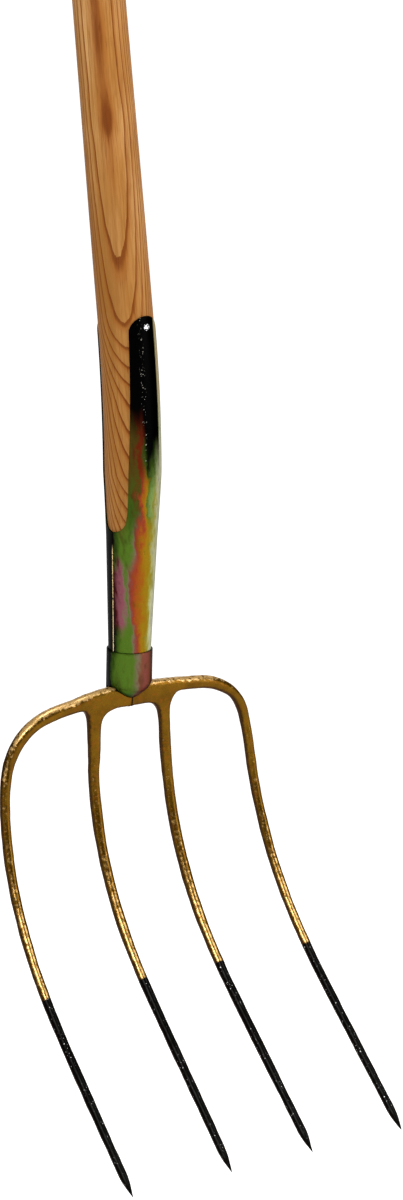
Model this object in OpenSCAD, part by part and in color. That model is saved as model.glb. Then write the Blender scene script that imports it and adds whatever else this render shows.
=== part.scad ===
// Manure fork: a forged four-tine head on a bent ash handle, held by a strapped sheet socket.
// Millimetres. Z runs up the straight handle, X across the tines, and the tines sweep forward to -Y.
// The origin is on the handle's axis, just above the tips of the socket's straps.

/* [Handle] */
// Diameter of the straight handle
handle_d = 38; // [34:0.5:42]
// Length of the straight handle above the strap tips
grip_length = 1050; // [600:10:1300]
// Rounding at the handle's top end
end_round = 12; // [4:1:16]
// How much the handle is dressed down, in diameter, where the straps lie
seat_dress = 1; // [0.8:0.1:1.6]
// Height of the handle's lower end above the middle of the web
handle_foot = 12; // [11:0.5:16]

/* [Bend] */
// Angle between the straight handle and the socket
bend_angle = 8.5; // [4:0.5:14]
// Radius of the handle's bend, on its axis
bend_radius = 500; // [350:10:800]
// Turn of the straps and of the bend from straight behind the tines
socket_turn = 10; // [0:1:15]

/* [Socket] */
// Thickness of the socket's sheet
sheet = 1.8; // [1:0.1:2.2]
// Height of the socket's lower end above the middle of the web
socket_foot = 10; // [9.5:0.5:11]
// Outside diameter of the socket's neck, inside the collar
neck_d = 30.6; // [28:0.2:33]
// Height at which the neck starts to widen
neck_top = 36; // [34:1:50]
// Outside diameter of the socket's throat, below the mouths
throat_d = 35.4; // [34:0.2:38]
// Height of the throat
throat_height = 115; // [100:1:118]
// Height at which the straight socket ends and the bend begins
bend_start = 162; // [150:1:180]
// Rise of the straps past the bend
strap_rise = 34; // [26:1:60]
// Width of a strap's round tip
strap_tip_w = 26.2; // [20:0.2:30]
// Height of the bottom of the two side mouths
mouth_bottom = 120.5; // [119:0.5:126]
// Width of a mouth at its round bottom
mouth_w = 21; // [16:0.5:23]
// How much wider a mouth is at the strap tips
mouth_flare = 10; // [4:0.5:12]
// Width of the open seam below the mouth on the -X side
seam_w = 0.4; // [0.2:0.1:1]

/* [Strap nails] */
// Distance of a nail from its strap's tip
nail_inset = 6.6; // [5:0.1:10]
// Diameter of a nail's shank
nail_d = 2.8; // [2:0.1:3.4]
// Diameter of a nail's head
nail_head_d = 5; // [4:0.1:7]
// Height of a nail's domed head
nail_head_h = 1.2; // [0.8:0.1:2]
// Length of a nail below its head
nail_length = 17; // [10:1:18]

/* [Collar] */
// Thickness of the collar's wall
collar_wall = 1; // [0.8:0.1:1.6]
// Height of the collar's upper rim
collar_top = 33; // [28:1:33]
// Height at which the collar starts to close in
collar_turn = 9; // [8:0.5:9.5]
// Depth of the closed-in end
collar_dome = 12; // [10:0.5:14]
// Diameter of the hole left in the closed-in end
collar_eye_d = 10; // [8:0.5:14]

/* [Web and arms] */
// Height of the web's upper edge at the middle
web_top = 5.8; // [4.5:0.1:7]
// Depth of the web's lower edge at the middle
web_drop = 9; // [7:0.5:12]
// Thickness of the web
web_thick = 9.4; // [8:0.2:10.6]
// Radius of the fillets beside the inner tines
web_fillet = 8; // [5:0.5:10]
// Diameter of the arms where they leave the web
arm_d = 8.4; // [7:0.1:9]
// Height that the left arm climbs towards, above the web's middle
arm_rise_left = -1.5; // [-6:0.5:8]
// Height that the right arm climbs towards, above the web's middle
arm_rise_right = 6.5; // [-6:0.5:8]
// Depth of the outer shoulders, where the arms have become tines
shoulder_drop = 40; // [32:1:50]
// Height of the left shoulder's bow
shoulder_bow_left = 24; // [15:1:40]
// Height of the right shoulder's bow
shoulder_bow_right = 38; // [15:1:40]
// Diameter of the tang, both halves together
tang_d = 10; // [8:0.5:11]
// Height of the tang's tip
tang_top = 110; // [80:1:140]

/* [Tines] */
// Length of a tine along its curve, from the middle of the web
tine_length = 363; // [300:1:400]
// Angle that a tine sweeps through
tine_sweep = 51; // [30:1:60]
// Length of curve over which a tine sweeps
sweep_run = 285; // [220:5:320]
// How far above the web's middle the sweep would begin
sweep_lead = 30; // [10:1:50]
// Distance of an inner tine's root from the middle
inner_root = 30; // [26:0.5:36]
// Distance of an inner tine's point from the middle
inner_point = 33.9; // [28:0.1:40]
// Distance of the left outer tine's point from the middle
outer_point_left = 114; // [100:0.5:125]
// Distance of the right outer tine's point from the middle
outer_point_right = 110.8; // [100:0.2:125]
// How much further out an outer tine's point lies than its root
outer_spread = 12.5; // [4:0.5:18]
// Diameter of an inner tine at its root
inner_d = 8.6; // [7:0.1:9]
// Diameter of an outer tine below its shoulder
outer_d = 7.5; // [6.4:0.1:9]
// Diameter of a tine where its point begins
tip_d = 5.8; // [4.5:0.1:6.4]
// Length of the sharpened point
point_length = 16; // [10:1:30]
// Diameter of the blunted end of the point
point_d = 0.9; // [0.6:0.1:2]

/* [Fits] */
// Gap on each side between the pieces that fit together
fit_gap = 0.1; // [0.05:0.01:0.2]

/* [Hidden] */
$fn = 64;
wood_colour = [0.76, 0.55, 0.32];
zinc_colour = [0.62, 0.62, 0.30];
gold_colour = [0.55, 0.40, 0.08];
steel_colour = [0.75, 0.75, 0.75];
// Distance from the strap tips up to the origin
strap_clear = 1;
// Distance from the bend's upper end up to the origin
strap_run = strap_rise + strap_clear;
seat_r = (handle_d - seat_dress) / 2;
strap_r = seat_r + fit_gap;
tip_centre = strap_rise - strap_tip_w / 2;
collar_inner_r = neck_d / 2 + fit_gap;
collar_outer_r = collar_inner_r + collar_wall;
// An arm's curve starts inside the web, and is led out past the inner tine
arm_start = inner_root / 2;
arm_lead = 2 * inner_root;
// Diameter of the tang's tapered tip
tang_tip_d = tang_d / 2;
// Sides and rings of the swept tines and arms
tine_sides = 12;
tine_step = 11;
arm_steps = 12;
// Sides of the bent handle and socket, and steps of their bend
bent_sides = 48;
bend_steps = 8;
// Share of an arm's curve that the web covers
web_share = 0.22;
// Oversize of a cutting shape, so that no face is left in common
over = 1;

function ease(t) = t <= 0 ? 0 : t >= 1 ? 1 : t * t * (3 - 2 * t);
function sweep_angle(s) =
    tine_sweep * (ease((s + sweep_lead) / sweep_run) - ease(sweep_lead / sweep_run));
function arc(x, z, r, from, to, steps = 8) =
    [for (i = [0 : steps]) let (a = from + (to - from) * i / steps) [x + r * cos(a), z + r * sin(a)]];
function unit(v) = v / norm(v);

// Forward reach and height of a tine at each step along its curve, from the middle of the web down.
tine_count = ceil(tine_length / tine_step);
tine_stride = tine_length / tine_count;
tine_yz = [for (i = 0, y = 0, z = 0; i <= tine_count;
                a = sweep_angle((i + 0.5) * tine_stride),
                y = y - tine_stride * sin(a),
                z = z - tine_stride * cos(a),
                i = i + 1) [y, z]];

// Sideways distance of a tine at length s: an even splay inside, and a splay that dies away outside.
function inner_x(s) = inner_root + (inner_point - inner_root) * s / tine_length;
function outer_x(s, reach) = reach - outer_spread * pow(1 - s / tine_length, 2);
// Diameter of a tine at length s, tapered to the start of its point and then to the blunt end.
function tine_d(s, root_d) =
    let (shank = tine_length - point_length)
    s <= shank ? root_d + (tip_d - root_d) * s / shank
               : tip_d + (point_d - tip_d) * (s - shank) / point_length;

// Rings [x, y, z, diameter] of an inner tine, one at each step.
function inner_rings() =
    [for (i = [0 : tine_count]) let (s = i * tine_stride)
        [inner_x(s), tine_yz[i][0], tine_yz[i][1], tine_d(s, inner_d)]];

// Rings of an arm, over its shoulder and down its outer tine, as one bar.
function bezier(p, t) =
    pow(1 - t, 3) * p[0] + 3 * t * pow(1 - t, 2) * p[1] + 3 * t * t * (1 - t) * p[2] + pow(t, 3) * p[3];
shoulder_index = ceil(shoulder_drop / tine_stride);
shoulder_s = shoulder_index * tine_stride;
// Guide points of an arm's curve: in the web, out along the arm, above the shoulder, and on the tine.
function arm_points(reach, rise, bow) =
    let (end_x = outer_x(shoulder_s, reach),
         end_y = tine_yz[shoulder_index][0],
         end_z = tine_yz[shoulder_index][1],
         slope = 2 * outer_spread / tine_length)
    [[arm_start, 0, 0], [arm_lead, 0, rise],
     [end_x - slope * bow, 0, end_z + bow], [end_x, end_y, end_z]];
function outer_rings(arm, reach) = concat(
    [for (i = [0 : arm_steps - 1])
        let (t = i / arm_steps, p = bezier(arm, t))
        [p[0], p[1], p[2], arm_d + (tine_d(shoulder_s, outer_d) - arm_d) * t]],
    [for (i = [shoulder_index : tine_count]) let (s = i * tine_stride)
        [outer_x(s, reach), tine_yz[i][0], tine_yz[i][1], tine_d(s, outer_d)]]);

// Rings of the bent axis, from a height above the bend, round it and down the tapered socket to a foot.
// The inset is taken off the socket's outside.
function bent_rings(top, foot, inset) =
    let (strap_d = 2 * (strap_r + sheet - inset),
         throat = throat_d - 2 * inset,
         neck = neck_d - 2 * inset)
    concat(
        [[0, 0, top, strap_d]],
        [for (i = [0 : bend_steps]) let (a = bend_angle * i / bend_steps)
            [0, bend_radius * (1 - cos(a)), -bend_radius * sin(a), strap_d]],
        [for (level = [[throat_height, throat], [neck_top, neck], [foot, neck]])
            let (below = bend_start - level[0])
            [0, bend_radius * (1 - cos(bend_angle)) + below * sin(bend_angle),
             -bend_radius * sin(bend_angle) - below * cos(bend_angle), level[1]]]);

// A round bar of changing diameter through a list of rings, as one closed solid.
module swept_bar(rings, sides) {
    count = len(rings);
    at = [for (r = rings) [r[0], r[1], r[2]]];
    along = [for (i = [0 : count - 1]) unit(at[min(i + 1, count - 1)] - at[max(i - 1, 0)])];
    side = [for (i = 0, n = unit(cross(along[0], [0, 1, 0])); i < count;
                 i = i + 1,
                 n = i < count ? unit(n - (n * along[i]) * along[i]) : n) n];
    points = [for (i = [0 : count - 1], k = [0 : sides - 1])
        let (a = 360 * k / sides)
        at[i] + rings[i][3] / 2 * (cos(a) * side[i] + sin(a) * cross(along[i], side[i]))];
    wall = [for (i = [0 : count - 2], k = [0 : sides - 1])
        let (a = i * sides + k, b = i * sides + (k + 1) % sides)
        each [[a, a + sides, b], [b, a + sides, b + sides]]];
    last = (count - 1) * sides;
    caps = [for (k = [1 : sides - 2])
        each [[0, k, k + 1], [last, last + k + 1, last + k]]];
    polyhedron(points, concat(wall, caps));
}

// Puts a piece at the bend's upper end, with the bend in the plane of Y and Z.
module on_bend() {
    translate([0, 0, -strap_run]) rotate([0, 0, socket_turn]) children();
}

// Puts a piece on the socket's axis, with heights counted from the middle of the web.
module on_socket() {
    on_bend()
        translate([0, bend_radius * (1 - cos(bend_angle)), -bend_radius * sin(bend_angle)])
            rotate([bend_angle, 0, 0])
                translate([0, 0, -bend_start]) children();
}

// As above, turned back so that the tines face straight forward.
module on_head() {
    on_socket() rotate([0, 0, -socket_turn]) children();
}

// Puts a piece on the outside of a strap, at its nail, with Z pointing out; turn 180 is the back strap.
module on_strap(turn) {
    rotate([0, 0, socket_turn + turn])
        translate([0, -strap_r - sheet, -strap_clear - nail_inset])
            rotate([90, 0, 0]) children();
}

// The holes for the two nails, through the straps and into the wood.
module nail_holes() {
    depth = nail_length + fit_gap;
    for (turn = [0, 180])
        on_strap(turn) translate([0, 0, -depth]) cylinder(d = nail_d + 2 * fit_gap, h = depth + over);
}

module handle() {
    top = grip_length;
    grip_r = handle_d / 2;
    color(wood_colour) difference() {
        union() {
            rotate_extrude() polygon(concat(
                [[0, 0], [grip_r, 0]],
                arc(grip_r - end_round, top - end_round, end_round, 0, 90),
                [[0, top]]));
            on_bend() swept_bar(bent_rings(strap_run + over, handle_foot, sheet + fit_gap), bent_sides);
        }
        on_socket() translate([0, 0, handle_foot - over])
            cylinder(d = tang_d + 2 * fit_gap, h = tang_top + fit_gap - handle_foot + over);
        nail_holes();
    }
}

// The two side mouths as one cut: a round-bottomed slot that widens as it follows the bent axis up.
module mouths() {
    half = mouth_w / 2;
    centre = mouth_bottom + half;
    reach = throat_d + 2 * sheet;
    rise = bend_start - centre;
    bend_length = bend_radius * bend_angle * PI / 180;
    run = rise + bend_length + strap_run;
    flare = mouth_flare / 2 / (run - strap_clear);
    low_half = half + flare * rise;
    on_socket() rotate([0, 90, 0]) rotate([0, 0, 90]) linear_extrude(height = 2 * reach, center = true) {
        translate([0, centre]) circle(r = half);
        polygon([[-half, centre], [half, centre], [low_half, bend_start], [low_half, bend_start + over],
                 [-low_half, bend_start + over], [-low_half, bend_start]]);
    }
    function side(i, way) =
        let (a = bend_angle * i / bend_steps,
             w = half + flare * (rise + bend_length * (1 - i / bend_steps)),
             r = bend_radius + way * w)
        [bend_radius - r * cos(a), -r * sin(a)];
    on_bend() rotate([0, 90, 0]) rotate([0, 0, 90]) linear_extrude(height = 2 * reach, center = true)
        polygon(concat(
            [for (i = [bend_steps : -1 : 0]) side(i, -1)],
            [[half + flare * run, strap_run], [-half - flare * run, strap_run]],
            [for (i = [0 : bend_steps]) side(i, 1)]));
}

// The straps' round tips, as the outline seen from the front.
module strap_tips() {
    reach = strap_r + sheet + over;
    rotate([0, 0, socket_turn]) rotate([90, 0, 0]) linear_extrude(height = 2 * reach, center = true)
        difference() {
            translate([-reach, tip_centre - strap_run]) square([2 * reach, strap_tip_w]);
            translate([0, tip_centre - strap_run]) circle(d = strap_tip_w);
        }
}

module socket() {
    seam_depth = neck_d;
    color(zinc_colour) difference() {
        on_bend() swept_bar(bent_rings(strap_rise, socket_foot, 0), bent_sides);
        on_bend() swept_bar(bent_rings(strap_rise + over, socket_foot - over, sheet), bent_sides);
        mouths();
        strap_tips();
        nail_holes();
        on_socket() translate([-seam_depth, -seam_w / 2, socket_foot - over])
            cube([seam_depth, seam_w, mouth_bottom - socket_foot + 2 * over]);
    }
}

// The collar round the socket's neck, closed in below over the web's two faces.
module collar() {
    eye_r = collar_eye_d / 2;
    steps = 10;
    function dome(r, depth) = [for (i = [0 : steps]) let (a = 90 * i / steps)
        [eye_r + (r - eye_r) * cos(a), collar_turn - depth * sin(a)]];
    inside = dome(collar_inner_r, collar_dome - collar_wall);
    color(zinc_colour) on_head() difference() {
        rotate_extrude() polygon(concat(
            [[collar_inner_r, collar_top], [collar_outer_r, collar_top]],
            dome(collar_outer_r, collar_dome),
            [for (i = [steps : -1 : 0]) inside[i]]));
        translate([-collar_outer_r - over, -web_thick / 2 - fit_gap, collar_turn - collar_dome - over])
            cube([2 * (collar_outer_r + over), web_thick + 2 * fit_gap,
                  web_top + fit_gap - collar_turn + collar_dome + over]);
    }
}

// Half of the web, seen from the front, from the middle out to where the arm leaves it. Its upper edge
// stays level under the collar.
module web_half(arm_end) {
    near = inner_root - inner_d / 2;
    far = inner_root + inner_d / 2;
    end = arm_end[0];
    arm_fillet = end - far;
    arm_z = arm_end[2];
    rotate([90, 0, 0]) linear_extrude(height = web_thick, center = true)
        polygon(concat(
            [[0, -web_drop]],
            arc(near - web_fillet, -web_drop - web_fillet, web_fillet, 90, 0),
            [[far, -web_drop - web_fillet]],
            arc(end, arm_z - arm_d / 2 - arm_fillet, arm_fillet, 180, 90),
            [[end, arm_z + arm_d / 2], [collar_outer_r + over, web_top], [0, web_top]]));
}

// One forged half, on the +X side: half the web and tang, an inner tine, and an arm with its outer tine.
module head_half(reach, rise, bow) {
    arm = arm_points(reach, rise, bow);
    web_half(bezier(arm, web_share));
    intersection() {
        union() {
            cylinder(d = tang_d, h = tang_top - tang_d);
            translate([0, 0, tang_top - tang_d]) cylinder(d1 = tang_d, d2 = tang_tip_d, h = tang_d);
        }
        translate([0, -tang_d, -over]) cube([tang_d, 2 * tang_d, tang_top + 2 * over]);
    }
    swept_bar(inner_rings(), tine_sides);
    swept_bar(outer_rings(arm, reach), tine_sides);
}

module head_left() {
    color(gold_colour) on_head() mirror([1, 0, 0])
        head_half(outer_point_left, arm_rise_left, shoulder_bow_left);
}

module head_right() {
    color(gold_colour) on_head()
        head_half(outer_point_right, arm_rise_right, shoulder_bow_right);
}

// A strap nail, driven in from the front; its domed head sits on the strap.
module strap_nail(turn) {
    ball_r = (nail_head_d * nail_head_d / 4 + nail_head_h * nail_head_h) / (2 * nail_head_h);
    color(steel_colour) on_strap(turn) {
        intersection() {
            translate([0, 0, nail_head_h - ball_r]) sphere(r = ball_r);
            cylinder(d = nail_head_d + over, h = nail_head_h + over);
        }
        translate([0, 0, -nail_length]) cylinder(d = nail_d, h = nail_length);
    }
}

module strap_nail_front() { strap_nail(0); }

module strap_nail_back() { strap_nail(180); }

handle();
socket();
collar();
head_left();
head_right();
strap_nail_front();
strap_nail_back();
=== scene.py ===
"""A manure fork: a forged four-tine head on a bent ash handle, held by a strapped sheet socket.

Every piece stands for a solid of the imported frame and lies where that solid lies, in metres. Z runs up the
straight handle, X across the tines, and the tines sweep forward to -Y.
"""
import logging
import math
from collections.abc import Callable, Iterator, Sequence
from contextlib import contextmanager
from dataclasses import dataclass, field
from enum import Enum
from functools import cached_property
from typing import Any

import bmesh
import bpy
from mathutils import Matrix, Quaternion, Vector


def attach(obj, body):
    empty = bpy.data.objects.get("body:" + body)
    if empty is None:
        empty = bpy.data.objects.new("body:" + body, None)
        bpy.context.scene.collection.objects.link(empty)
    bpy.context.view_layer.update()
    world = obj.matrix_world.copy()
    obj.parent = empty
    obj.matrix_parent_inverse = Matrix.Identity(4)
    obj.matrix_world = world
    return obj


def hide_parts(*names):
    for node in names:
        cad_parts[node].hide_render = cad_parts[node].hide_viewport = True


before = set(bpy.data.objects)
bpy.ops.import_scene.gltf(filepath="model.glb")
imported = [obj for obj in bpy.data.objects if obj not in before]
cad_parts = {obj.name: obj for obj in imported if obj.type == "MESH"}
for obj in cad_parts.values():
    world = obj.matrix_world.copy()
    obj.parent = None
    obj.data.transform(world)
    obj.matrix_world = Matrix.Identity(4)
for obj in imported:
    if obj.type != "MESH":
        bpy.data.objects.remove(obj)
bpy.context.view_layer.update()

LOG = logging.getLogger("fork")
ROOT_BODY = "root"
UP = Vector((0.0, 0.0, 1.0))
DOWN = -UP
# A face lies level when its normal has this much of up or down, and an edge is sharp from this angle on.
LEVEL_FACE = 0.7
SHARP_EDGE = math.radians(50.0)

Colour = tuple[float, float, float, float]
Stop = tuple[float, Colour]


def srgb(red: int, green: int, blue: int) -> Colour:
    """Turns a colour as a screen shows it into the linear colour that a shader takes.

    Args:
        red: Red from 0 to 255.
        green: Green from 0 to 255.
        blue: Blue from 0 to 255.

    Returns:
        The linear colour, with full alpha.
    """
    def linear(level: int) -> float:
        """Turns one channel."""
        share = level / 255
        return share / 12.92 if share <= 0.04045 else ((share + 0.055) / 1.055) ** 2.4

    return (linear(red), linear(green), linear(blue), 1.0)


def grey(level: float) -> Colour:
    """Gives a linear grey."""
    return (level, level, level, 1.0)


def ease(share: float) -> float:
    """Eases a share in and out, level at 0 and at 1."""
    clipped = min(max(share, 0.0), 1.0)
    return clipped * clipped * (3 - 2 * clipped)


class Slot(Enum):
    """The finishes by the names that the record gives them."""

    ASH_WOOD = "ash_wood"
    PASSIVATED_ZINC = "passivated_zinc"
    GOLD_LACQUER = "gold_lacquer"
    BRIGHT_STEEL = "bright_steel"


class Side(Enum):
    """The two forged halves of the head, as the sign of X on which each lies."""

    LEFT = -1
    RIGHT = 1


class Strap(Enum):
    """The two straps of the socket, as the turn from the front."""

    FRONT = 0.0
    BACK = math.pi


# Shader expressions


class Value:
    """A shader socket that takes part in Python arithmetic."""

    def __init__(self, shader: "Shader", socket: bpy.types.NodeSocket) -> None:
        """Wraps a socket.

        Args:
            shader: The nodes that the socket belongs to.
            socket: The output socket.
        """
        self.shader = shader
        self.socket = socket

    def __add__(self, other: "Number") -> "Value":
        """Adds."""
        return self.shader.math("ADD", self, other)

    __radd__ = __add__

    def __sub__(self, other: "Number") -> "Value":
        """Subtracts the other from this."""
        return self.shader.math("SUBTRACT", self, other)

    def __rsub__(self, other: "Number") -> "Value":
        """Subtracts this from the other."""
        return self.shader.math("SUBTRACT", other, self)

    def __mul__(self, other: "Number") -> "Value":
        """Multiplies."""
        return self.shader.math("MULTIPLY", self, other)

    __rmul__ = __mul__

    def __truediv__(self, other: "Number") -> "Value":
        """Divides this by the other."""
        return self.shader.math("DIVIDE", self, other)

    def __rtruediv__(self, other: "Number") -> "Value":
        """Divides the other by this."""
        return self.shader.math("DIVIDE", other, self)

    def __neg__(self) -> "Value":
        """Turns the sign."""
        return self.shader.math("MULTIPLY", self, -1.0)


Number = Value | float


class Shader:
    """A tree of shader nodes, made by short calls."""

    def __init__(self, tree: bpy.types.NodeTree, surface: str) -> None:
        """Takes hold of a tree.

        Args:
            tree: The tree.
            surface: Name of the node that takes the finished values.
        """
        self.tree = tree
        self.surface = tree.nodes[surface]

    @cached_property
    def place(self) -> Value:
        """The surface's place in the object, in metres."""
        return self.output("ShaderNodeTexCoord", "Object")

    def node(self, kind: str, settings: dict[str, Any] | None = None,
             inputs: dict[str | int, Any] | None = None) -> bpy.types.Node:
        """Adds any node: first its settings, then what feeds its sockets.

        Args:
            kind: The node's type.
            settings: The node's own settings; "stops" gives a ramp's stops.
            inputs: Values or links by socket name or index.

        Returns:
            The node.
        """
        made = self.tree.nodes.new(kind)
        for key, setting in (settings or {}).items():
            if key == "stops":
                elements = made.color_ramp.elements
                while len(elements) < len(setting):
                    elements.new(1.0)
                for element, (position, colour) in zip(elements, setting):
                    element.position = position
                    element.color = colour
            else:
                setattr(made, key, setting)
        for key, value in (inputs or {}).items():
            self.feed(made.inputs[key], value)
        return made

    def feed(self, socket: bpy.types.NodeSocket, value: Any) -> None:
        """Links a value to a socket, or sets the socket where the value is a plain number or colour.

        Args:
            socket: The input socket.
            value: What it takes.
        """
        if isinstance(value, Value):
            self.tree.links.new(value.socket, socket)
        else:
            socket.default_value = value

    def output(self, kind: str, name: str | int, settings: dict[str, Any] | None = None,
               inputs: dict[str | int, Any] | None = None) -> Value:
        """Adds a node and gives one of its outputs, by name or index."""
        return Value(self, self.node(kind, settings, inputs).outputs[name])

    def math(self, operation: str, *values: Number) -> Value:
        """Adds a Math node."""
        return self.output("ShaderNodeMath", 0, {"operation": operation}, dict(enumerate(values)))

    def along(self, direction: Sequence[float]) -> Value:
        """Measures the surface's place along a direction, in metres."""
        return self.output("ShaderNodeVectorMath", "Value", {"operation": "DOT_PRODUCT"},
                           {0: self.place, 1: tuple(direction)})

    def facing(self, way: Sequence[float]) -> Value:
        """Measures how squarely the surface faces a way, from -1 to 1."""
        normal = self.output("ShaderNodeNewGeometry", "Normal")
        return self.output("ShaderNodeVectorMath", "Value", {"operation": "DOT_PRODUCT"},
                           {0: normal, 1: tuple(way)})

    def stretched(self, scale: Sequence[float], offset: Sequence[float] = (0.0, 0.0, 0.0)) -> Value:
        """Scales the surface's place by axis, so that a pattern is drawn out.

        Args:
            scale: Scale along X, Y and Z.
            offset: Shift of the pattern.

        Returns:
            The scaled place.
        """
        return self.output("ShaderNodeMapping", "Vector", None,
                           {"Vector": self.place, "Scale": tuple(scale), "Location": tuple(offset)})

    def noise(self, place: Value, scale: float, detail: float = 2.0, rough: float = 0.5,
              warp: float = 0.0) -> Value:
        """Adds cloudy noise, about 0.5 on average.

        Args:
            place: Where the noise is read.
            scale: Number of clouds in a metre.
            detail: Number of finer layers.
            rough: Strength of the finer layers.
            warp: Distortion of the clouds.

        Returns:
            The noise.
        """
        return self.output("ShaderNodeTexNoise", 0, None,
                           {"Vector": place, "Scale": scale, "Detail": detail, "Roughness": rough,
                            "Distortion": warp})

    def step(self, value: Value, low: float, high: float) -> Value:
        """Rises smoothly from 0 at low to 1 at high."""
        return self.output("ShaderNodeMapRange", 0, {"interpolation_type": "SMOOTHSTEP"},
                           {"Value": value, "From Min": low, "From Max": high})

    def mix(self, share: Number, first: Value | Colour, second: Value | Colour) -> Value:
        """Mixes two colours, all of the first at share 0."""
        return self.output("ShaderNodeMix", 2, {"data_type": "RGBA"}, {0: share, 6: first, 7: second})

    def ramp(self, value: Value, stops: Sequence[Stop]) -> Value:
        """Runs a value through a ramp of colours."""
        return self.output("ShaderNodeValToRGB", "Color", {"stops": stops}, {0: value})

    def bump(self, height: Value, strength: float, depth: float) -> Value:
        """Turns a height into a bumpy normal, with its depth in metres."""
        return self.output("ShaderNodeBump", "Normal", None,
                           {"Height": height, "Strength": strength, "Distance": depth})

    def dress(self, **sockets: Any) -> None:
        """Feeds the surface's sockets, with underscores for the blanks in their names."""
        for name, value in sockets.items():
            self.feed(self.surface.inputs[name.replace("_", " ")], value)


class Finish(Shader):
    """A material with a single principled surface."""

    def __init__(self, name: str) -> None:
        """Starts the material.

        Args:
            name: The material's name.
        """
        self.material = bpy.data.materials.new(name)
        self.material.use_nodes = True
        super().__init__(self.material.node_tree, "Principled BSDF")

    def dressed(self, **sockets: Any) -> bpy.types.Material:
        """Dresses the surface and gives the finished material."""
        self.dress(**sockets)
        return self.material


# Modelling by operators


@contextmanager
def editing(piece: bpy.types.Object) -> Iterator[None]:
    """Opens a piece in edit mode, alone and with nothing selected in it.

    Args:
        piece: The piece.

    Yields:
        Nothing.
    """
    only(piece)
    bpy.ops.object.mode_set(mode="EDIT")
    bpy.ops.mesh.select_mode(type="FACE")
    bpy.ops.mesh.select_all(action="DESELECT")
    yield
    bpy.ops.object.mode_set(mode="OBJECT")


def only(*pieces: bpy.types.Object) -> None:
    """Selects these pieces alone, the first one active.

    Args:
        pieces: The pieces.
    """
    bpy.ops.object.select_all(action="DESELECT")
    for piece in pieces:
        piece.select_set(True)
    bpy.context.view_layer.objects.active = pieces[0]


def added(name: str) -> bpy.types.Object:
    """Names the primitive that was added last, and fixes its turn and scale in its mesh.

    Args:
        name: The name of the object and of its mesh.

    Returns:
        The object.
    """
    piece = bpy.context.object
    piece.name = name
    piece.data.name = name
    settle(piece)
    return piece


def settle(piece: bpy.types.Object) -> None:
    """Moves a piece's place, turn and scale into its mesh."""
    only(piece)
    bpy.ops.object.transform_apply(location=True, rotation=True, scale=True)


def put(piece: bpy.types.Object, place: Matrix) -> None:
    """Moves a piece that was modelled in its own frame to its place in the object."""
    piece.matrix_world = place
    settle(piece)


def copied(piece: bpy.types.Object, name: str) -> bpy.types.Object:
    """Copies a piece with a mesh of its own.

    Args:
        piece: The piece.
        name: The copy's name.

    Returns:
        The copy.
    """
    only(piece)
    bpy.ops.object.duplicate(linked=False)
    copy = bpy.context.object
    copy.name = name
    copy.data.name = name
    return copy


def pick_faces(piece: bpy.types.Object, wanted: Callable[[Vector, Vector], bool]) -> None:
    """Selects faces by their place and normal, in edit mode.

    Args:
        piece: The piece that is open.
        wanted: Says of a face's centre and normal whether it is taken.
    """
    mesh = bmesh.from_edit_mesh(piece.data)
    for face in mesh.faces:
        face.select_set(wanted(face.calc_center_median(), face.normal))
    mesh.select_flush(True)
    bmesh.update_edit_mesh(piece.data)


def finish_with(piece: bpy.types.Object, kind: str, **settings: Any) -> None:
    """Adds a modifier and applies it.

    Args:
        piece: The piece.
        kind: The modifier's type.
        settings: The modifier's settings.
    """
    only(piece)
    bpy.ops.object.modifier_add(type=kind)
    modifier = piece.modifiers[-1]
    for key, value in settings.items():
        setattr(modifier, key, value)
    bpy.ops.object.modifier_apply(modifier=modifier.name)


def close_up(piece: bpy.types.Object, gap: float = 0.00002) -> None:
    """Merges doubled points and turns all faces outwards.

    Args:
        piece: The piece.
        gap: Points nearer to each other than this are merged.
    """
    with editing(piece):
        bpy.ops.mesh.select_all(action="SELECT")
        bpy.ops.mesh.remove_doubles(threshold=gap)
        bpy.ops.mesh.normals_make_consistent(inside=False)


def smooth(piece: bpy.types.Object, degrees: float = 35.0) -> None:
    """Shades a piece smooth, but for edges sharper than an angle."""
    only(piece)
    bpy.ops.object.shade_smooth_by_angle(angle=math.radians(degrees))


class Bar:
    """The selected end of a bar in edit mode, which is pushed along a path by extruding it."""

    def __init__(self, centre: Vector, direction: Vector) -> None:
        """Takes hold of the selected end.

        Args:
            centre: The end's centre.
            direction: The way the end faces.
        """
        self.centre = centre.copy()
        self.direction = direction.normalized()

    def push(self, centre: Vector, direction: Vector, scale: Sequence[float] = (1.0, 1.0, 1.0)) -> None:
        """Extrudes the end to a new place, scales it and turns it.

        Args:
            centre: The new centre.
            direction: The way the end faces there.
            scale: Scale of the end along X, Y and Z, before it is turned.
        """
        bpy.ops.mesh.extrude_region_move(TRANSFORM_OT_translate={"value": centre - self.centre})
        if tuple(scale) != (1.0, 1.0, 1.0):
            bpy.ops.transform.resize(value=tuple(scale), center_override=centre)
        self.turn(self.direction.rotation_difference(direction), centre)
        self.centre = centre.copy()
        self.direction = direction.normalized()

    @staticmethod
    def turn(turn: Quaternion, centre: Vector) -> None:
        """Turns the selected end about its centre, one axis after the other.

        The operator turns against the sign of its angle when Blender runs without a window.

        Args:
            turn: The whole turn.
            centre: The end's centre.
        """
        for axis, angle in zip("XYZ", turn.to_euler()):
            if abs(angle) > 1e-6:
                bpy.ops.transform.rotate(value=-angle, orient_axis=axis, center_override=centre)


# The bent axis, which the handle, the socket and the head share


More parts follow.
